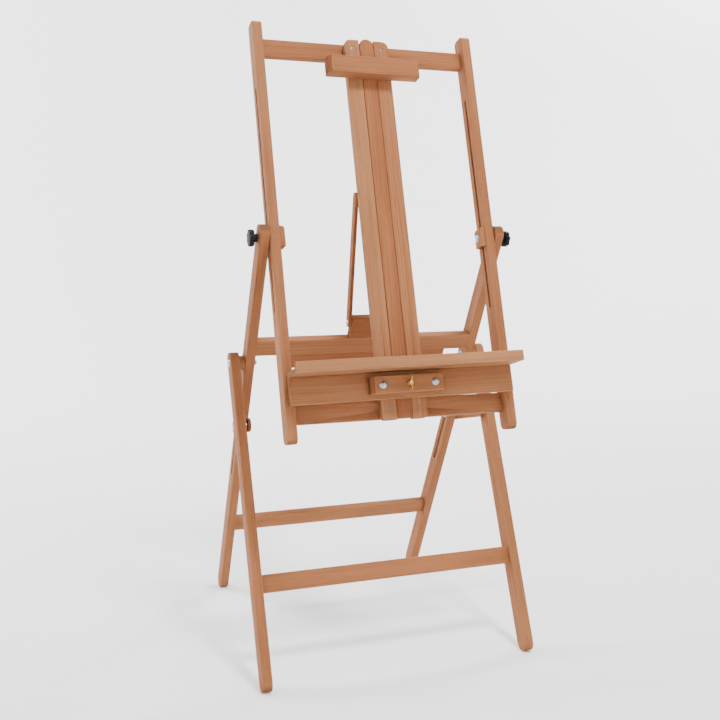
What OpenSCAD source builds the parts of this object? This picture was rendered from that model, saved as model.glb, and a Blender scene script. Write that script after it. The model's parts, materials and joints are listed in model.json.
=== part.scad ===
// Folding studio easel in oiled beech: two rear posts, two front legs, a tilting and sliding
// painting panel, a sliding ledge and a sliding mast with a canvas clamp.
// +X is the viewer's right, +Y points to the back, the feet stand on Z = 0.

/* [Stance] */
// Angle of the rear posts from the vertical
rear_angle = 25.7; // [20:0.1:30]
// Angle of the front legs from the vertical
front_angle = 24.4; // [18:0.1:28]
// Backward lean of the painting panel
lean = 18.7; // [12:0.1:24]
// Forward lean of the tilt strut
strut_lean = 7.7; // [7:0.1:8]

/* [Panel frame] */
// Outer width of the panel frame
panel_w = 550; // [500:10:640]
// Width of one upright, seen from the front
upright_w = 22; // [18:1:26]
// Depth of one upright
upright_d = 40; // [34:1:44]
// Length of an upright above the knob axis
upright_up = 514; // [480:1:560]
// Length of an upright below the knob axis
upright_down = 461; // [440:1:480]
// Slot of an upright above the knob axis
slot_up = 350; // [300:5:380]
// Slot of an upright below the knob axis
slot_down = 165; // [155:5:280]
// Height of the rails
rail_h = 41; // [36:1:46]
// Height of the bottom rail of the panel
bottom_rail_h = 45; // [40:1:47]
// Thickness of the panel rails
rail_t = 18; // [15:1:20]
// Width of one batten
batten_w = 36; // [30:1:40]
// Thickness of the battens
batten_t = 18; // [14:1:19]
// Width of the mast between the battens
mast_w = 34.4; // [30:0.2:40]

/* [Base] */
// Width of one rear post
post_w = 22; // [18:1:26]
// Depth of one rear post
post_d = 38; // [34:1:44]
// Rear post from the knob axis to the centre of its rounded foot
post_len = 1074; // [1000:1:1150]
// Leg pivot below the knob axis, along the post
pivot_down = 334; // [300:1:360]
// Top edge of the cross rail below the knob axis, along the post
cross_down = 262; // [250:1:280]
// Width of one front leg
leg_w = 22; // [20:1:28]
// Depth of one front leg
leg_d = 41; // [34:1:44]
// Pivot to pivot length of a spreader link
link_len = 152; // [130:1:160]

/* [Ledge] */
// Length of the ledge
ledge_w = 534; // [460:2:560]
// Depth of the shelf in front of the uprights, lip included
shelf_d = 85.5; // [60:0.5:100]
// Height of the lip
lip_h = 23.5; // [18:0.5:30]
// Height of the apron below the shelf
apron_h = 59.5; // [45:0.5:70]
// Tilt of the ledge off level, within its clamping play
ledge_skew = 0.6; // [0:0.1:1]

/* [Hidden] */
$fn = 64;

wood = "#BC7D52";
wood_light = "#C98D61";
wood_dark = "#A56A43";
steel = "#C9CCD0";
brass = "#C9A64A";
black = "#1C1C1E";

gap = 0.3;                  // free play between faces that move past each other
side_gap = 2;               // panel frame to rear post, each side
link_gap = 13.5;            // rear post to front leg, each side
bolt_r = 4;                 // M8 bolts
bore_r = bolt_r + 0.05;     // running bore around an M8 bolt
slot_r = bolt_r + 0.4;      // slots that an M8 bolt slides in
head_r = 9.2;               // carriage bolt head
head_h = 4.5;
tenon_l = 10;               // stub tenons of the rails
tenon_inset = 5;
fit = 0.05;                 // mortise around its tenon

panel_x = panel_w / 2;                  // outer face of the uprights
rail_x = panel_x - upright_w;           // inner face of the uprights
post_in = panel_x + side_gap;           // inner face of the rear posts
post_out = post_in + post_w;            // outer face of the rear posts
leg_in = post_out + link_gap;           // inner face of the front legs
leg_out = leg_in + leg_w;               // outer face of the front legs

post_top = 13;              // centre of the rounded post top above the knob axis
leg_top = 6;                // centre of the rounded leg top above the pivot
post_slot = [8, 150];       // slot of a post above and below the link bolt
stretcher_down = 835;       // top edge of the rear stretcher, along the post
front_stretcher_down = 500; // top edge of the front stretcher, along the leg

cross_y = -post_d / 2;       // front face of the cross rail
cross_t = 20;
rail_screw_x = [-180, 0, 180];
block_screw_x = [-36, 36];

link_x = post_out + 0.6;    // inner face of a link
link_t = 7;
link_d = 33;

grip_t = 12;                // clamp blocks beside the uprights
block_in = rail_x - gap - grip_t;
knob_x = post_out + gap + 2;    // outer face of a knob washer
knob_l = 21;

top_rail_z = 437;           // lower edge of the top rail, along the panel
bottom_rail_z = -419;       // lower edge of the bottom rail
batten_z = [-423, 483];
batten_x = 18.8;            // inner edge of a batten
mast_z = [-419, 486];
mast_front = -batten_t - 0.4;
tongue = [4.2, 3.6];        // reach beyond the mast's edge, thickness
clamp_z = [384, 425];
clamp_x = [-110, 118];
clamp_chamfer = 8;
clamp_front = -51;

strut_down = 222;           // strut pivot, along the post
strut_front = -10;
strut_x = -57;
strut_w = 8;
strut_d = 20;
strut_len = 302;
block_w = 96;
block_h = 56;

ledge_back = -upright_d / 2 - 0.5;      // rear face of the apron and the shelf
apron_t = 17.5;
shelf_t = 12;
lip_t = 12;
shelf_z = -318.5;                       // underside of the shelf, along the panel
ledge_z = -349;                         // centre of the clamp bar
bar_w = 178;
bar_h = 38;
bar_t = 24;
bar_chamfer = 8;
ledge_bolt_x = 62.4;
back_bar_t = 18;
apron_front = ledge_back - apron_t;
bar_front = apron_front - bar_t;
wing_shaft_l = mast_front - 0.4 - bar_front + gap;

// The origin is on the floor, halfway between the front of the ledge and the back of the feet
foot_back = post_len * sin(rear_angle) + post_d / 2;
low_corner = ledge_z + (shelf_z - ledge_z) * cos(ledge_skew) - ledge_w / 2 * sin(ledge_skew);
ledge_front = low_corner * sin(lean) + (ledge_back - shelf_d) * cos(lean);
knob_y = -(foot_back + ledge_front) / 2;
knob_z = post_len * cos(rear_angle) + post_d / 2;
pivot_y = knob_y + pivot_down * sin(rear_angle);
pivot_z = knob_z - pivot_down * cos(rear_angle);
leg_len = (pivot_z - leg_d / 2) / cos(front_angle);
fold = rear_angle + front_angle;
link_down = pivot_down + 2 * link_len * cos(fold);  // link bolt, along the post

// ---- placing ----

// Frame of the panel: knob axis at the origin, Z up along the uprights, -Y to the front
module in_panel() {
    translate([0, knob_y, knob_z]) rotate([-lean, 0, 0]) children();
}

// Frame of the panel, turned by the ledge's small tilt about the wing screw
module in_ledge() {
    in_panel() translate([0, 0, ledge_z]) rotate([0, -ledge_skew, 0]) translate([0, 0, -ledge_z])
        children();
}

// Frame of the base: knob axis at the origin, Z up along the posts
module in_base() {
    translate([0, knob_y, knob_z]) rotate([rear_angle, 0, 0]) children();
}

// Frame of the front legs: pivot at the origin, Z up along the legs
module in_legs() {
    translate([0, pivot_y, pivot_z]) rotate([-front_angle, 0, 0]) children();
}

// Frame of the links: bolt in the post slot at the origin, Z along the link to its front pivot
module in_links() {
    in_base() translate([0, 0, -link_down]) rotate([fold, 0, 0]) children();
}

module mirrored(side) {
    if (side < 0) mirror([1, 0, 0]) children();
    else children();
}

module both_sides() {
    for (side = [-1, 1]) mirrored(side) children();
}

// ---- shapes ----

// Rectangle from the origin with the radii of its lower and its upper corners
module rounded_rect(w, h, r_low, r_high) {
    difference() {
        square([w, h]);
        if (r_low > 0) {
            translate([r_low, r_low]) rotate(180) corner_cut(r_low);
            translate([w - r_low, r_low]) rotate(270) corner_cut(r_low);
        }
        if (r_high > 0) {
            translate([r_high, h - r_high]) rotate(90) corner_cut(r_high);
            translate([w - r_high, h - r_high]) corner_cut(r_high);
        }
    }
}

module corner_cut(r) {
    difference() {
        square(r + 1);
        circle(r);
    }
}

// Stick with its faces across X, from z0 to z1, centred on Y = 0
module stick(x0, w, d, z0, z1, r_low, r_high) {
    translate([x0, -d / 2, z0]) rotate([90, 0, 90])
        linear_extrude(w) rounded_rect(d, z1 - z0, r_low, r_high);
}

// Cylinder along X from x0 to x1
module rod(x0, x1, r, y = 0, z = 0) {
    translate([x0, y, z]) rotate([0, 90, 0]) cylinder(h = x1 - x0, r = r);
}

// Slot through X between two heights
module slot(x0, x1, r, z0, z1) {
    rod(x0, x1, r, 0, z0);
    rod(x0, x1, r, 0, z1);
    translate([x0, -r, z0]) cube([x1 - x0, 2 * r, z1 - z0]);
}

// Domed bolt head on Z = 0, crown up
module dome(r, h) {
    ball = (r * r + h * h) / (2 * h);
    intersection() {
        translate([0, 0, h - ball]) sphere(ball);
        cylinder(h = h, r = r + 1);
    }
}

// Domed head that sits at x and points away from the centre
module side_head(x, r = head_r, h = head_h) {
    translate([x, 0, 0]) rotate([0, 90, 0]) dome(r, h);
}

module hex_nut(r, h, bore) {
    difference() {
        cylinder(h = h, r = r, $fn = 6);
        translate([0, 0, -1]) cylinder(h = h + 2, r = bore);
    }
}

// Rail between two posts with a stub tenon at each end
module rail(half, y0, t, z0, h = rail_h) {
    translate([-half, y0, z0]) cube([2 * half, t, h]);
    translate([-half - tenon_l, y0 + tenon_inset, z0 + tenon_inset])
        cube([2 * (half + tenon_l), t - 2 * tenon_inset, h - 2 * tenon_inset]);
}

// Mortise for the right-hand tenon of such a rail
module mortise(half, y0, t, z0, h = rail_h) {
    translate([half - 1, y0 + tenon_inset - fit, z0 + tenon_inset - fit])
        cube([tenon_l + 1 + fit, t - 2 * tenon_inset + 2 * fit, h - 2 * tenon_inset + 2 * fit]);
}

module flat_screw(len, r, r_head, h_head) {
    cylinder(h = len, r = r);
    cylinder(h = h_head, r1 = r_head, r2 = r);
}

// ---- base ----

module rear_post(side) {
    color(wood) in_base() mirrored(side) difference() {
        stick(post_in, post_w, post_d, -post_len - post_d / 2, post_top + post_d / 2,
              post_d / 2, post_d / 2);
        rod(post_in - 1, post_out + 1, bore_r);
        rod(post_in - 1, post_out + 1, bore_r, 0, -pivot_down);
        slot(post_in - 1, post_out + 1, slot_r, -link_down - post_slot[1], -link_down + post_slot[0]);
        mortise(post_in, cross_y, cross_t, -cross_down - rail_h);
        mortise(post_in, -10, rail_t, -stretcher_down - rail_h);
    }
}

module cross_rail() {
    color(wood) in_base() difference() {
        rail(post_in, cross_y, cross_t, -cross_down - rail_h);
        rail_screw_set();
    }
}

module lower_cross_rail() {
    color(wood_dark) in_base() difference() {
        translate([-216, cross_y + 3, -cross_down - 2 * rail_h]) cube([432, 16, rail_h]);
        rail_screw_set();
    }
}

module rear_stretcher() {
    color(wood) in_base() rail(post_in, -10, rail_t, -stretcher_down - rail_h);
}

module strut_block() {
    color(wood) in_base() difference() {
        translate([-block_w / 2, cross_y, -cross_down]) cube([block_w, cross_t, block_h]);
        rod(-block_w / 2 - 1, -block_w / 2 + 30, bolt_r - 1, strut_front, -strut_down);
        rail_screw_set();
    }
}

// Screws that hold the lower rail and the block to the cross rail
module rail_screw_set() {
    for (x = rail_screw_x) translate([x, cross_y + 11, -cross_down - 2 * rail_h])
        flat_screw(rail_h + 25, 2.2, 4.6, 3);
    for (x = block_screw_x) translate([x, cross_y + 5.5, -cross_down - rail_h])
        flat_screw(rail_h + 25, 2.2, 4.6, 3);
}

module rail_screws() {
    color(steel) in_base() rail_screw_set();
}

// ---- tilt strut ----

module strut_bolt() {
    color(steel) in_base() translate([0, strut_front, -strut_down]) {
        mirror([1, 0, 0]) side_head(-strut_x + gap, 7, 3.2);
        rod(strut_x - gap, -block_w / 2 + 30, bolt_r - 1);
    }
}

module tilt_strut() {
    color(wood_dark) in_base() translate([0, strut_front, -strut_down])
        rotate([strut_lean - rear_angle, 0, 0]) difference() {
            stick(strut_x, strut_w, strut_d, -strut_d / 2, strut_len + strut_d / 2,
                  strut_d / 2, strut_d / 2);
            rod(strut_x - 1, strut_x + strut_w + 1, bolt_r - 1 + 0.05);
        }
}

// ---- front legs ----

module front_leg(side) {
    color(wood) in_legs() mirrored(side) difference() {
        stick(leg_in, leg_w, leg_d, -leg_len - leg_d / 2, leg_top + leg_d / 2, leg_d / 2, leg_d / 2);
        rod(leg_in - 1, leg_out + 1, bolt_r);
        rod(leg_in - 1, leg_in + 14, 2.5, 0, -link_len);
        mortise(leg_in, -9, rail_t, -front_stretcher_down - rail_h);
    }
}

module front_stretcher() {
    color(wood_light) in_legs() rail(leg_in, -9, rail_t, -front_stretcher_down - rail_h);
}

module leg_pivot_bolts() {
    color(steel) in_legs() both_sides() {
        side_head(leg_out);
        rod(post_in - 9, leg_out, bolt_r);
    }
}

module leg_pivot_nuts() {
    color(steel) in_legs() both_sides()
        translate([post_in - gap, 0, 0]) rotate([0, -90, 0]) {
            hex_nut(7, 6.5, bolt_r);
            difference() {
                cylinder(h = 1.5, r = 9);
                translate([0, 0, -1]) cylinder(h = 4, r = bolt_r);
            }
        }
}

module leg_spacers() {
    color(wood_light) in_legs() both_sides() difference() {
        rod(post_out + gap, leg_in, 17.5);
        rod(post_out, leg_in + 1, bolt_r);
    }
}

module link_screws() {
    color(steel) in_legs() both_sides()
        translate([link_x + gap, 0, -link_len]) rotate([0, 90, 0])
            flat_screw(leg_in + 14 - link_x - gap, 2.5, 5.4, 3);
}

module link_washers() {
    color(steel) in_legs() both_sides() difference() {
        rod(link_x + link_t + gap, leg_in, 7, 0, -link_len);
        rod(link_x, leg_in + 1, 2.5, 0, -link_len);
    }
}

// ---- spreader links ----

module spreader_link(side) {
    color(wood) in_links() mirrored(side) difference() {
        stick(link_x, link_t, link_d, -link_d / 2, link_len + link_d / 2, link_d / 2, link_d / 2);
        rod(link_x - 1, link_x + link_t + 1, bolt_r);
        translate([link_x - 1, 0, link_len]) rotate([0, 90, 0]) {
            cylinder(h = link_t + 2, r = 2.55);
            cylinder(h = 4.6, r1 = 6.75, r2 = 2.55);
        }
    }
}

module link_bolt(side) {
    color(steel) in_links() mirrored(side) {
        side_head(link_x + link_t, 8, 2.8);
        rod(post_in - 12, link_x + link_t, bolt_r);
    }
}

module link_nut(side) {
    color(steel) in_links() mirrored(side) translate([post_in - gap, 0, 0]) rotate([0, -90, 0]) {
        hex_nut(7, 6.5, bolt_r);
        difference() {
            cylinder(h = 1.5, r = 9);
            translate([0, 0, -1]) cylinder(h = 4, r = bolt_r);
        }
    }
}

// ---- tilt clamps ----

module clamp_block(side) {
    color(wood) in_panel() mirrored(side) difference() {
        translate([block_in, -18, -23]) cube([grip_t, 30, 47]);
        translate([block_in, 0, 24]) rotate([0, 45, 0]) cube([7, 40, 7], center = true);
        rod(block_in - 1, rail_x, bolt_r);
    }
}

module knob_bolts() {
    color(steel) in_panel() both_sides() {
        mirror([1, 0, 0]) side_head(-block_in);
        rod(block_in, knob_x + 17, bolt_r);
    }
}

module knob_washers() {
    color(wood_light) in_panel() both_sides() difference() {
        rod(post_out + gap, knob_x, 10);
        rod(post_out, knob_x + 1, bolt_r);
    }
}

// Lobed knob: a disc with seven scallops, on a hub
module knob(side) {
    color(black) in_panel() mirrored(side) translate([knob_x + gap, 0, 0]) rotate([0, 90, 0])
        difference() {
            union() {
                cylinder(h = knob_l - 2, r = 9.5);
                translate([0, 0, 8]) linear_extrude(knob_l - 10.5) knob_outline();
            }
            translate([0, 0, -1]) cylinder(h = 18, r = bore_r);
        }
}

module knob_outline() {
    difference() {
        circle(19);
        for (i = [0:6]) rotate(i * 360 / 7) translate([22.5, 0]) circle(6);
    }
}

// ---- panel ----

module upright(side) {
    color(wood_light) in_panel() mirrored(side) difference() {
        stick(rail_x, upright_w, upright_d, -upright_down, upright_up, 15, 10);
        slot(rail_x - 1, panel_x + 1, slot_r, -slot_down, slot_up);
        mortise(rail_x, 0, rail_t, top_rail_z);
        mortise(rail_x, 0, rail_t, bottom_rail_z, bottom_rail_h);
    }
}

module top_rail() {
    color(wood) in_panel() difference() {
        rail(rail_x, 0, rail_t, top_rail_z);
        batten_screw_set();
    }
}

module bottom_rail() {
    color(wood) in_panel() difference() {
        rail(rail_x, 0, rail_t, bottom_rail_z, bottom_rail_h);
        batten_screw_set();
    }
}

// Batten with rounded outer corners and a groove in its inner edge
module batten(side) {
    r_top = 15;
    r_low = 9;
    color(wood_light) in_panel() mirrored(side) difference() {
        translate([batten_x, 0, batten_z[0]]) rotate([90, 0, 0]) linear_extrude(batten_t)
            difference() {
                square([batten_w, batten_z[1] - batten_z[0]]);
                translate([batten_w - r_top, batten_z[1] - batten_z[0] - r_top]) corner_cut(r_top);
                translate([batten_w - r_low, r_low]) rotate(270) corner_cut(r_low);
            }
        translate([batten_x - 1, -8.4, batten_z[0] - 1])
            cube([5.8, tongue[1] + 1, batten_z[1] - batten_z[0] + 2]);
        batten_screw_set();
    }
}

module batten_screw_set() {
    for (x = [-1, 1] * (batten_x + batten_w / 2)) {
        for (z = [bottom_rail_z + 23, top_rail_z + 23]) {
            translate([x, -batten_t, z]) rotate([-90, 0, 0]) flat_screw(32, 2, 3.5, 2.2);
        }
    }
}

module batten_screws() {
    color(steel) in_panel() batten_screw_set();
}

// ---- mast ----

module mast() {
    r_top = 16;
    h = mast_z[1] - mast_z[0];
    color(wood_light) in_panel() difference() {
        union() {
            translate([-mast_w / 2, -0.4, mast_z[0]]) rotate([90, 0, 0])
                linear_extrude(batten_t) rounded_rect(mast_w, h, 6, r_top);
            translate([-mast_w / 2 - tongue[0], -7.9, mast_z[0] + 10])
                cube([mast_w + 2 * tongue[0], tongue[1], h - 30]);
        }
        clamp_screw_set();
    }
}

// Block across the front of the mast: front corners and rear top edge chamfered
module top_clamp() {
    c = clamp_chamfer;
    color(wood_light) in_panel() difference() {
        translate([0, 0, clamp_z[0]]) linear_extrude(clamp_z[1] - clamp_z[0]) polygon([
            [clamp_x[0], mast_front],
            [clamp_x[1], mast_front],
            [clamp_x[1], clamp_front + c],
            [clamp_x[1] - c, clamp_front],
            [clamp_x[0] + c, clamp_front],
            [clamp_x[0], clamp_front + c]
        ]);
        translate([0, mast_front, clamp_z[1]]) rotate([45, 0, 0])
            cube([2 * clamp_x[1] + 2, 11, 11], center = true);
        clamp_screw_set();
    }
}

module clamp_screw_set() {
    for (z = [395, 413]) {
        translate([0, -0.4, z]) rotate([90, 0, 0]) flat_screw(38, 2.2, 4.6, 3);
    }
}

module clamp_screws() {
    color(steel) in_panel() clamp_screw_set();
}

// ---- ledge ----

module ledge_bores() {
    for (x = [-1, 1] * ledge_bolt_x) {
        translate([x, bar_front - 1, ledge_z]) rotate([-90, 0, 0]) cylinder(h = 100, r = bolt_r);
    }
    translate([0, bar_front - 1, ledge_z]) rotate([-90, 0, 0]) cylinder(h = 60, r = 3.05);
}

module apron() {
    color(wood) in_ledge() difference() {
        translate([-ledge_w / 2, apron_front, shelf_z - apron_h]) cube([ledge_w, apron_t, apron_h]);
        ledge_bores();
    }
}

module shelf() {
    color(wood_light) in_ledge()
        translate([-ledge_w / 2, ledge_back - shelf_d + lip_t, shelf_z])
            cube([ledge_w, shelf_d - lip_t, shelf_t]);
}

module lip() {
    color(wood_light) in_ledge()
        translate([-ledge_w / 2, ledge_back - shelf_d, shelf_z]) cube([ledge_w, lip_t, lip_h]);
}

module clamp_bar() {
    half = bar_w / 2;
    color(wood_dark) in_ledge() difference() {
        translate([0, 0, ledge_z - bar_h / 2]) linear_extrude(bar_h) polygon([
            [-half, apron_front],
            [half, apron_front],
            [half, apron_front - bar_t + bar_chamfer],
            [half - bar_chamfer, bar_front],
            [-half + bar_chamfer, bar_front],
            [-half, apron_front - bar_t + bar_chamfer]
        ]);
        ledge_bores();
    }
}

module back_bar() {
    color(wood_dark) in_ledge() difference() {
        translate([-bar_w / 2, 0.5, ledge_z - bar_h / 2]) cube([bar_w, back_bar_t, bar_h]);
        for (x = [-1, 1] * ledge_bolt_x) {
            translate([x, 0, ledge_z]) rotate([-90, 0, 0]) cylinder(h = 60, r = bolt_r);
        }
    }
}

module ledge_bolts() {
    color(steel) in_ledge() for (x = [-1, 1] * ledge_bolt_x) {
        translate([x, bar_front, ledge_z]) {
            rotate([90, 0, 0]) dome(head_r, head_h);
            rotate([-90, 0, 0]) cylinder(h = back_bar_t - bar_front + 10, r = bolt_r);
        }
    }
}

module ledge_nuts() {
    color(steel) in_ledge() for (x = [-1, 1] * ledge_bolt_x) {
        translate([x, back_bar_t + 0.5, ledge_z]) rotate([-90, 0, 0]) {
            hex_nut(7, 6.5, bolt_r);
            difference() {
                cylinder(h = 1.5, r = 9);
                translate([0, 0, -1]) cylinder(h = 4, r = bolt_r);
            }
        }
    }
}

// Brass screw through the ledge whose tip bears on the mast
module wing_screw() {
    color(brass) in_ledge() translate([0, bar_front - gap, ledge_z]) rotate([90, 0, 0]) {
        cylinder(h = 5, r1 = 6.5, r2 = 5);
        cylinder(h = 10, r = 4.4);
        translate([0, 0, -wing_shaft_l]) cylinder(h = wing_shaft_l, r = 3);
        rotate([0, 0, 84]) translate([0, 0.9, 0]) rotate([90, 0, 0]) linear_extrude(1.8)
            wing_outline();
    }
}

module wing_outline() {
    for (side = [-1, 1]) {
        polygon([[0, 3], [side * 6, 2.5], [side * 14, 9], [side * 11, 14], [0, 9]]);
        translate([side * 12.3, 11.8]) circle(4);
    }
}

// ---- nodes ----

rear_post(-1);  // rear_post_left
rear_post(1);  // rear_post_right
cross_rail();
lower_cross_rail();
rear_stretcher();
strut_block();
strut_bolt();
rail_screws();
front_leg(-1);  // front_leg_left
front_leg(1);  // front_leg_right
front_stretcher();
leg_pivot_bolts();
leg_pivot_nuts();
leg_spacers();
link_screws();
link_washers();
spreader_link(-1);  // link_left
link_bolt(-1);  // link_bolt_left
link_nut(-1);  // link_nut_left
spreader_link(1);  // link_right
link_bolt(1);  // link_bolt_right
link_nut(1);  // link_nut_right
clamp_block(-1);  // clamp_block_left
clamp_block(1);  // clamp_block_right
knob_bolts();
knob_washers();
knob(-1);  // knob_left
knob(1);  // knob_right
upright(-1);  // upright_left
upright(1);  // upright_right
top_rail();
bottom_rail();
batten(-1);  // batten_left
batten(1);  // batten_right
batten_screws();
mast();
top_clamp();
clamp_screws();
apron();
shelf();
lip();
clamp_bar();
back_bar();
ledge_bolts();
ledge_nuts();
wing_screw();
tilt_strut();
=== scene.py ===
import json
import math
import random

import bmesh
import bpy
from mathutils import Matrix, Vector


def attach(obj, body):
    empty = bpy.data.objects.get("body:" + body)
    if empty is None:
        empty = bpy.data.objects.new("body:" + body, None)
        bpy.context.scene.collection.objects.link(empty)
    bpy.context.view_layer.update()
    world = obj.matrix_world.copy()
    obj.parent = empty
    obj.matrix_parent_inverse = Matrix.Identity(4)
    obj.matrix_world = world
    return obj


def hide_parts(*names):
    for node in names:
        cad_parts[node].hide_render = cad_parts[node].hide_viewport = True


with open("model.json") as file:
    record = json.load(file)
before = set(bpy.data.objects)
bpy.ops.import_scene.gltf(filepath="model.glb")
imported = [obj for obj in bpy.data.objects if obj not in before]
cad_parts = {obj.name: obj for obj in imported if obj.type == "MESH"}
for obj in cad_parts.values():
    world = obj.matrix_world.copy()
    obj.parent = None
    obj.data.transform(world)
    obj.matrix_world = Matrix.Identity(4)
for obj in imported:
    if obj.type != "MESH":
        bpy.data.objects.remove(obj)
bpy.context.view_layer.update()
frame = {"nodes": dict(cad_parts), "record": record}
nodes = frame["nodes"]
behaviour = frame["record"]["behaviour"]
body_of = {n: b for b, ns in behaviour["bodies"].items() for n in ns}
slot_of = {s["node"]: s["material_slot"] for s in frame["record"]["subparts"]}
joints = {j["name"]: j for j in behaviour["joints"]}


def placed(name, data):
    """A new object in the scene that holds the given data."""
    o = bpy.data.objects.new(name, data)
    bpy.context.scene.collection.objects.link(o)
    return o


# ---- camera ----

YAW, PITCH, ROLL = math.radians(19.82), math.radians(8.54), math.radians(0.67)
HINGE_TO_EYE = Vector((-0.81045, -2.07423, 0.05031))  # metres, from the panel's tilt hinge
SENSOR_MM, LENS_MM = 36, 47.68
SHIFT_X, SHIFT_Y = 0.0044, -0.0008
NEAREST, FARTHEST = 0.05, 60


def place_camera():
    """Looks along +Y turned by YAW towards +X, tipped down by PITCH and rolled by ROLL."""
    ahead = Vector((math.sin(YAW) * math.cos(PITCH), math.cos(YAW) * math.cos(PITCH), -math.sin(PITCH)))
    side = Vector((math.cos(YAW), -math.sin(YAW), 0))
    above = side.cross(ahead)
    right = side * math.cos(ROLL) + above * math.sin(ROLL)
    up = above * math.cos(ROLL) - side * math.sin(ROLL)
    eye = Vector(joints["panel_tilt"]["pos_m"]) + HINGE_TO_EYE
    cam = placed("camera", bpy.data.cameras.new("camera"))
    cam.matrix_world = Matrix.Translation(eye) @ Matrix((right, up, -ahead)).transposed().to_4x4()
    cam.data.sensor_width = SENSOR_MM
    cam.data.lens = LENS_MM
    cam.data.shift_x = SHIFT_X
    cam.data.shift_y = SHIFT_Y
    cam.data.clip_start = NEAREST
    cam.data.clip_end = FARTHEST
    bpy.context.scene.camera = cam


place_camera()


# ---- materials ----

def srgb(r, g, b):
    """A colour from 0-255 display values."""
    def lin(c):
        c /= 255
        return c / 12.92 if c <= 0.04045 else ((c + 0.055) / 1.055) ** 2.4
    return (lin(r), lin(g), lin(b), 1)


class Tree:
    """Short calls for building one material's nodes."""

    def __init__(self, name):
        self.material = bpy.data.materials.new(name)
        self.material.use_nodes = True
        self.nt = self.material.node_tree
        self.shader = self.nt.nodes["Principled BSDF"]

    def add(self, kind, settings=(), **inputs):
        node = self.nt.nodes.new("ShaderNode" + kind)
        for k, v in dict(settings).items():
            setattr(node, k, v)
        for k, v in inputs.items():
            self.put(node, k, v)
        return node

    def put(self, node, socket, value):
        """Sets or links an input, called i0, i1 and so on, or by its name with _ for a space."""
        numbered = socket[0] == "i" and socket[1:].isdigit()
        key = int(socket[1:]) if numbered else socket.replace("_", " ")
        if isinstance(value, bpy.types.NodeSocket):
            self.nt.links.new(value, node.inputs[key])
        else:
            node.inputs[key].default_value = value

    def attribute(self, name):
        return self.add("Attribute", {"attribute_name": name})

    def math(self, op, a, b=0.0):
        return self.add("Math", {"operation": op}, i0=a, i1=b).outputs[0]

    def plus(self, a, b, factor):
        """a + b * factor"""
        return self.math("ADD", a, self.math("MULTIPLY", b, factor))

    def scaled(self, vector, scale):
        return self.add("VectorMath", {"operation": "MULTIPLY"}, i0=vector, i1=scale).outputs[0]

    def noise(self, vector, scale, detail=3.0, rough=0.55):
        """Noise with about this many waves to the metre in each direction."""
        return self.add("TexNoise", Vector=self.scaled(vector, scale), Scale=1.0, Detail=detail,
                        Roughness=rough).outputs["Fac"]

    def ramp(self, fac, low, high, out_low=0.0, out_high=1.0):
        return self.add("MapRange", {"interpolation_type": "SMOOTHSTEP"}, Value=fac, From_Min=low,
                        From_Max=high, To_Min=out_low, To_Max=out_high).outputs[0]

    def mix(self, fac, a, b):
        return self.add("Mix", {"data_type": "RGBA"}, i0=fac, i6=a, i7=b).outputs[2]

    def layer(self, below, colour, mask, strength):
        """The colour laid over what is below, by strength where the mask is 1."""
        return self.mix(self.math("MULTIPLY", mask, strength), below, colour)

    def bump(self, height, strength, distance, below=None):
        node = self.add("Bump", Strength=strength, Distance=distance, Height=height)
        if below is not None:
            self.put(node, "Normal", below)
        return node.outputs[0]

    def finish(self, **inputs):
        for k, v in inputs.items():
            self.put(self.shader, k, v)
        return self.material


WOOD = {
    "pale": srgb(151, 98, 64), "deep": srgb(135, 84, 53), "ring": srgb(112, 67, 41),
    "streak": srgb(110, 65, 40), "fibre": srgb(160, 108, 72), "fleck": srgb(80, 42, 23),
    "end": srgb(88, 51, 30), "worn": srgb(172, 116, 78),
}
PITH_X, PITH_Y = 0.045, 0.03  # metres to the middle of the rings, before each stick's own offset
RINGS_PER_METRE = 290.0


def ring_mask(t, g):
    """Rises from 0 to 1 across each growth ring. The rings wander slowly along the stick."""
    wander = t.noise(g, (9, 9, 1.1), 2.0)
    wobble = t.noise(g, (60, 60, 4), 2.0)
    xyz = t.add("SeparateXYZ", Vector=g)
    x = t.math("ADD", xyz.outputs[0], PITH_X)
    y = t.math("ADD", xyz.outputs[1], PITH_Y)
    radius = t.math("SQRT", t.plus(t.math("MULTIPLY", x, x), y, y))
    radius = t.plus(radius, wander, 0.022)
    radius = t.plus(radius, wobble, 0.0022)
    saw = t.math("FRACT", t.math("MULTIPLY", radius, RINGS_PER_METRE))
    return t.ramp(saw, 0.35, 0.95)


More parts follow.
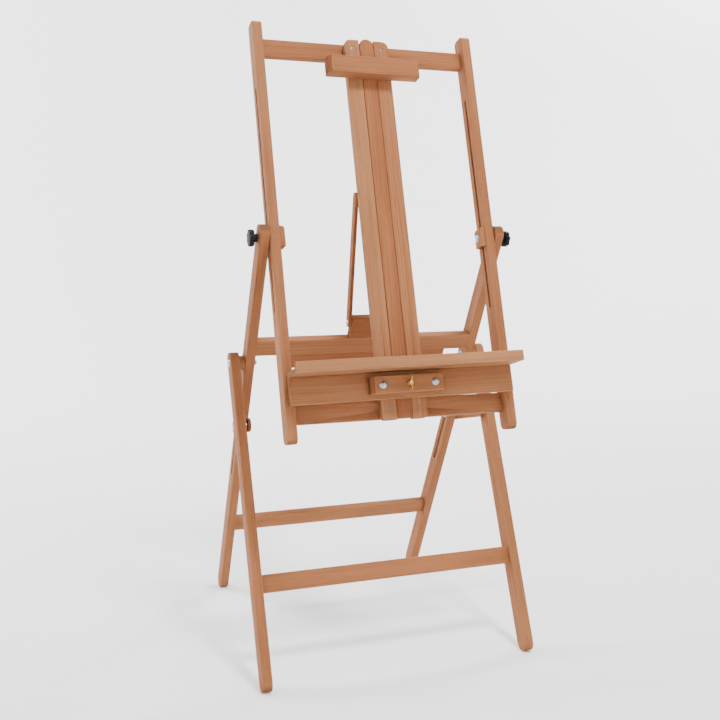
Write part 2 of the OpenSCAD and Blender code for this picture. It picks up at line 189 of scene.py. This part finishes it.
def beech():
    """Oiled steamed beech. The grain attribute is metres in the stick's own directions, Z along it."""
    t = Tree("oiled_beech")
    g = t.attribute("grain").outputs["Vector"]
    tint_and_light = t.attribute("tint_and_light").outputs["Fac"]
    edge = t.attribute("edge").outputs["Fac"]
    end = t.attribute("end").outputs["Fac"]
    patch = t.noise(g, (22, 22, 2.2), 3.0)
    streak = t.noise(g, (330, 330, 5), 4.0, 0.6)
    fibre = t.noise(g, (1900, 1900, 38), 3.0, 0.6)
    cells = t.add("TexVoronoi", {"feature": "F1"}, Vector=t.scaled(g, (850, 850, 260)), Scale=1.0,
                  Randomness=1.0)
    fleck = t.ramp(cells.outputs["Distance"], 0.10, 0.30, 1.0, 0.0)
    rubbed = t.ramp(t.noise(g, (120, 120, 26), 2.0), 0.35, 0.7, 0.05, 0.5)

    c = t.mix(t.ramp(patch, 0.32, 0.68), WOOD["pale"], WOOD["deep"])
    c = t.layer(c, WOOD["ring"], ring_mask(t, g), 0.34)
    c = t.layer(c, WOOD["streak"], t.ramp(streak, 0.42, 0.72), 0.42)
    c = t.layer(c, WOOD["fibre"], t.ramp(fibre, 0.35, 0.7), 0.20)
    c = t.layer(c, WOOD["fleck"], fleck, 0.42)
    c = t.layer(c, WOOD["end"], end, 0.55)
    c = t.layer(c, WOOD["worn"], edge, rubbed)
    # darker or lighter by the piece's tint, which on listed pieces such as the apron is partly painted
    # light
    shade = t.add("HueSaturation", Fac=1.0, Color=c, Hue=t.plus(0.5, tint_and_light, -0.006),
                  Saturation=t.plus(1.0, tint_and_light, 0.04), Value=t.plus(1.0, tint_and_light, -0.16))
    n = t.bump(fibre, 0.22, 0.00035)
    n = t.bump(fleck, 0.25, 0.00025, n)
    n = t.bump(t.noise(g, (40, 40, 3), 2.0), 0.12, 0.002, n)
    rough = t.plus(t.ramp(streak, 0.3, 0.7, 0.50, 0.62), end, 0.14)
    return t.finish(Base_Color=shade.outputs[0], Roughness=rough, Normal=n, Specular_IOR_Level=0.05)


# half width and half length of the arms of a cross recess's painted shade in mm, each from where it
# starts to fade to its end
ARM_WIDE, ARM_LONG = (0.40, 0.62), (1.75, 2.05)
# the recess colour is painted shade: the cross recesses are not cut into the heads, only their dark
# inside is painted on
SCREW_HEAD, RECESS_SHADE = srgb(92, 86, 80), srgb(14, 12, 11)


def recess_shade_mask(t, drive):
    """1 where the shade of a screw head's cross recess is painted. The drive attribute is mm across the
    head, and 1 on it.
    """
    u = t.math("ABSOLUTE", drive.outputs[0])
    v = t.math("ABSOLUTE", drive.outputs[1])
    arms = [t.math("MULTIPLY", t.ramp(a, *ARM_WIDE, 1.0, 0.0), t.ramp(b, *ARM_LONG, 1.0, 0.0))
            for a, b in ((u, v), (v, u))]
    return t.math("MULTIPLY", t.math("MAXIMUM", *arms), drive.outputs[2])


def metal(name, light, dark, rough, scratch):
    """Plated or cast metal with a mottled tone and fine scratches, duller on the screw heads, with
    painted shade for their cross recesses.
    """
    t = Tree(name)
    g = t.attribute("grain").outputs["Vector"]
    edge = t.attribute("edge").outputs["Fac"]
    drive = t.add("SeparateXYZ", Vector=t.attribute("drive").outputs["Vector"])
    head = drive.outputs[2]
    mottle = t.noise(g, (240, 240, 240), 4.0)
    lines = t.noise(g, (2600, 160, 2600), 2.0)
    smudge = t.noise(g, (110, 110, 110), 3.0)
    c = t.mix(t.ramp(mottle, 0.35, 0.65), light, dark)
    c = t.layer(c, light, edge, 0.35)
    c = t.layer(c, SCREW_HEAD, head, 0.72)
    # painted shade of the cross recesses on the flat screw heads
    c = t.mix(recess_shade_mask(t, drive), c, RECESS_SHADE)
    r = t.plus(t.ramp(smudge, 0.3, 0.7, rough - 0.07, rough + 0.10), lines, 0.05)
    r = t.plus(r, head, 0.22)
    n = t.bump(lines, scratch, 0.0001)
    n = t.bump(mottle, 0.08, 0.0004, n)
    return t.finish(Base_Color=c, Metallic=1.0, Roughness=r, Normal=n)


def plastic():
    """Moulded black plastic with a fine pebbled texture and paler edges."""
    t = Tree("black_plastic")
    g = t.attribute("grain").outputs["Vector"]
    edge = t.attribute("edge").outputs["Fac"]
    pebble = t.add("TexVoronoi", {"feature": "SMOOTH_F1"}, Vector=t.scaled(g, (2200, 2200, 2200)),
                   Scale=1.0)
    haze = t.noise(g, (90, 90, 90), 3.0)
    c = t.mix(t.ramp(haze, 0.35, 0.65), srgb(13, 13, 14), srgb(22, 22, 24))
    c = t.layer(c, srgb(44, 44, 47), edge, 0.25)
    r = t.ramp(haze, 0.3, 0.7, 0.50, 0.64)
    n = t.bump(pebble.outputs["Distance"], 0.25, 0.0002)
    return t.finish(Base_Color=c, Roughness=r, Normal=n, Specular_IOR_Level=0.12)


MATERIAL = {
    "beech": beech(),
    "zinc_steel": metal("zinc_steel", srgb(176, 181, 188), srgb(142, 149, 158), 0.27, 0.12),
    "brass": metal("brass", srgb(226, 184, 92), srgb(196, 148, 62), 0.32, 0.14),
    "black_plastic": plastic(),
}


# ---- pieces: eased copies of the CAD solids, with their grain ----

WELD = 4e-6  # metres: corners nearer than this are one corner
FLAT = math.radians(0.3)  # faces that meet at less than this are one face
SHARP = math.radians(32)  # edges that turn more than this are eased
CREASE = math.radians(34)  # edges that turn more than this stay hard in the shading
SHORTEST = 0.0013  # metres: shorter edges of the wood are not eased
SAME_WAY = 0.9995  # cosine above which two faces have one direction
SQUARE = 0.02  # cosine below which two directions are square to each other
END_FROM, END_OVER = 0.45, 0.4  # cosine to the grain where end grain starts, and over which it grows

# size of the eased edges in mm, by material and for the pieces that differ from it
EASE = {"beech": 1.0, "zinc_steel": 0.25, "brass": 0.45, "black_plastic": 0.9}
THIN = {"tilt_strut": 0.9, "leg_spacers": 0.5, "knob_washers": 0.5}

# tint of the wooden pieces, darker above 0; the others draw one at random. The listed values match each
# piece's brightness as lit, so they are partly the wood's own tone and partly painted light: the apron's
# lighter value is painted light in the shade under the shelf
TINT_AND_LIGHT = {
    "clamp_bar": -0.1, "back_bar": 0.2, "apron": -0.5, "lower_cross_rail": 0.5, "cross_rail": -0.3,
    "tilt_strut": 0.7, "top_clamp": 0.2, "strut_block": 0.4, "bottom_rail": 0.0, "top_rail": 0.25,
    "mast": 0.5, "batten_left": -0.75, "batten_right": 0.0, "shelf": -0.4, "lip": -1.2,
    "leg_spacers": -0.4, "knob_washers": -0.5, "front_stretcher": 0.1,
}
TINT_RANGE = 0.35
SCREWS = ("batten_screws", "clamp_screws", "link_screws", "rail_screws")


def span(bm, d):
    """The solid's extent along a direction."""
    along = [v.co.dot(d) for v in bm.verts]
    return max(along) - min(along)


def directions(bm):
    """The solid's own axes, from its largest faces; Z is the longest."""
    groups = []
    for f in bm.faces:
        for group in groups:
            if abs(group[0].dot(f.normal)) > SAME_WAY:
                group[1] += f.calc_area()
                break
        else:
            groups.append([f.normal.copy(), f.calc_area()])
    groups.sort(key=lambda group: -group[1])
    a = groups[0][0].normalized()
    b = next((n for n, _ in groups if abs(n.dot(a)) < SQUARE), a.orthogonal()).normalized()
    c = a.cross(b).normalized()
    return sorted((a, b, c), key=lambda d: span(bm, d))


def ease_edges(bm, node, kind):
    """Rounds the sharp edges and returns the faces that this made."""
    sharp = [e for e in bm.edges if len(e.link_faces) == 2 and e.calc_face_angle(0) > SHARP
             and (kind != "beech" or e.calc_length() > SHORTEST)]
    if not sharp:
        return set()
    size = THIN.get(node, EASE[kind]) / 1000
    made = bmesh.ops.bevel(bm, geom=sharp, offset=size, segments=3, profile=0.5, affect="EDGES",
                           clamp_overlap=True)
    return set(made["faces"])


def head_places(bm):
    """For each vertex of a screw's head face: millimetres across the head, and 1."""
    places = {}
    todo = set(bm.verts)
    while todo:
        island, queue = set(), [todo.pop()]
        while queue:
            v = queue.pop()
            island.add(v)
            fresh = {e.other_vert(v) for e in v.link_edges} & todo
            todo -= fresh
            queue += fresh
        head = max({f for v in island for f in v.link_faces}, key=lambda f: f.calc_area())
        centre = head.calc_center_median()
        across = (head.verts[0].co - centre).normalized()
        other = head.normal.cross(across)
        for v in head.verts:
            r = v.co - centre
            places[v.index] = (r.dot(across) * 1000, r.dot(other) * 1000, 1.0)
    return places


def give(mesh, name, domain, values, kind="FLOAT"):
    """Adds an attribute for the materials to read."""
    field = "vector" if kind == "FLOAT_VECTOR" else "value"
    mesh.attributes.new(name, kind, domain).data.foreach_set(field, values)


def paint(mesh, node, kind, axes, edges, heads):
    """Gives the mesh its grain, tint (partly painted light), eased edges, end grain and screw heads as
    attributes.
    """
    rnd = random.Random(node)
    offset = Vector((rnd.uniform(-1, 1), rnd.uniform(-1, 1), rnd.uniform(-9, 9)))
    if kind == "beech":
        # the sticks stay near one place in the log, so that their rings look alike
        offset.x, offset.y = rnd.uniform(-0.02, 0.02), rnd.uniform(-0.02, 0.02)
    # a listed tint is partly painted light, such as the apron's lighter value in the shelf's shade
    tone = TINT_AND_LIGHT.get(node, rnd.uniform(-TINT_RANGE, TINT_RANGE))
    places = [Vector([v.co.dot(a) for a in axes]) for v in mesh.vertices]
    lo, hi = (Vector([pick(c) for c in zip(*places)]) for pick in (min, max))
    mid = (lo + hi) / 2
    ends = [(abs(p.normal.dot(axes[2])) - END_FROM) / END_OVER for p in mesh.polygons]
    give(mesh, "grain", "POINT", [x for p in places for x in p - mid + offset], "FLOAT_VECTOR")
    give(mesh, "tint_and_light", "POINT", [tone] * len(mesh.vertices))
    give(mesh, "edge", "FACE", edges)
    give(mesh, "end", "FACE", [max(0.0, min(1.0, x)) for x in ends])
    if kind == "zinc_steel":
        drive = [x for i in range(len(mesh.vertices)) for x in heads.get(i, (0.0, 0.0, 0.0))]
        give(mesh, "drive", "POINT", drive, "FLOAT_VECTOR")


def eased(node):
    """A copy of a CAD solid with eased edges that stands for it and rides where it rides."""
    kind = slot_of[node]
    bm = bmesh.new()
    bm.from_mesh(nodes[node].data)
    bmesh.ops.remove_doubles(bm, verts=bm.verts, dist=WELD)
    bmesh.ops.dissolve_limit(bm, angle_limit=FLAT, verts=bm.verts, edges=bm.edges)
    bm.normal_update()
    axes = directions(bm)
    bevelled = ease_edges(bm, node, kind)
    bm.normal_update()
    bm.verts.index_update()
    edges = [float(f in bevelled) for f in bm.faces]
    heads = head_places(bm) if node in SCREWS else {}
    mesh = bpy.data.meshes.new("eased_" + node)
    bm.to_mesh(mesh)
    bm.free()
    paint(mesh, node, kind, axes, edges, heads)
    mesh.polygons.foreach_set("use_smooth", [True] * len(mesh.polygons))
    mesh.set_sharp_from_angle(angle=CREASE)
    mesh.materials.append(MATERIAL[kind])
    piece = placed("eased_" + node, mesh)
    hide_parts(node)
    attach(piece, body_of[node])


for name in sorted(nodes):
    eased(name)


# ---- floor and light ----

HUB_R, FLOOR_R, COVE_R, WALL_TOP = 0.8, 3.4, 2.2, 6.0  # metres
TURNS, COVE_STEPS = 96, 12
FLOOR_GREY = 0.90
SKY_STRENGTH = 0.20


def floor_paint():
    t = Tree("floor")
    return t.finish(Base_Color=(FLOOR_GREY, FLOOR_GREY, FLOOR_GREY, 1), Roughness=0.9,
                    Specular_IOR_Level=0.1)


def sweep():
    """Pale round floor that curves up into a wall on every side."""
    line = [(HUB_R, 0.0), (FLOOR_R, 0.0)]
    for i in range(1, COVE_STEPS + 1):
        a = math.radians(90 * i / COVE_STEPS)
        line.append((FLOOR_R + COVE_R * math.sin(a), COVE_R * (1 - math.cos(a))))
    line.append((FLOOR_R + COVE_R, WALL_TOP))
    turns = [math.tau * k / TURNS for k in range(TURNS)]
    bm = bmesh.new()
    rings = [[bm.verts.new((r * math.cos(a), r * math.sin(a), z)) for a in turns] for r, z in line]
    bm.faces.new(rings[0])
    for a, b in zip(rings, rings[1:]):
        for k in range(TURNS):
            m = (k + 1) % TURNS
            bm.faces.new((a[k], b[k], b[m], a[m]))
    mesh = bpy.data.meshes.new("floor")
    bm.to_mesh(mesh)
    bm.free()
    mesh.polygons.foreach_set("use_smooth", [True] * len(mesh.polygons))
    mesh.materials.append(floor_paint())
    o = placed("floor", mesh)


def lamp(name, place, target, size, watts):
    """A square lamp that faces its target. Places and size are in metres."""
    data = bpy.data.lights.new(name, "AREA")
    data.shape = "SQUARE"
    data.size = size
    data.energy = watts
    o = placed(name, data)
    o.location = place
    o.rotation_mode = "QUATERNION"
    o.rotation_quaternion = (Vector(target) - Vector(place)).to_track_quat("-Z", "Y")


def sky():
    """Even white light from all round, which fills the shadows."""
    world = bpy.data.worlds.new("studio")
    world.use_nodes = True
    background = world.node_tree.nodes["Background"]
    background.inputs["Color"].default_value = (1, 1, 1, 1)
    background.inputs["Strength"].default_value = SKY_STRENGTH
    bpy.context.scene.world = world


sweep()
lamp("key", (0.5, -2.1, 4.7), (0, 0, 0.8), 0.8, 250)
lamp("top", (0.3, 0.4, 4.7), (0, 0, 0), 3.0, 70)
lamp("fill", (1.7, -4.3, 1.7), (0, 0, 0.5), 1.6, 34)
lamp("backdrop_left", (-3.2, 2.6, 4.2), (-2.0, 5.2, 0.8), 2.0, 380)
lamp("backdrop_right", (4.2, 2.6, 4.2), (3.2, 5.2, 0.8), 2.0, 380)
sky()
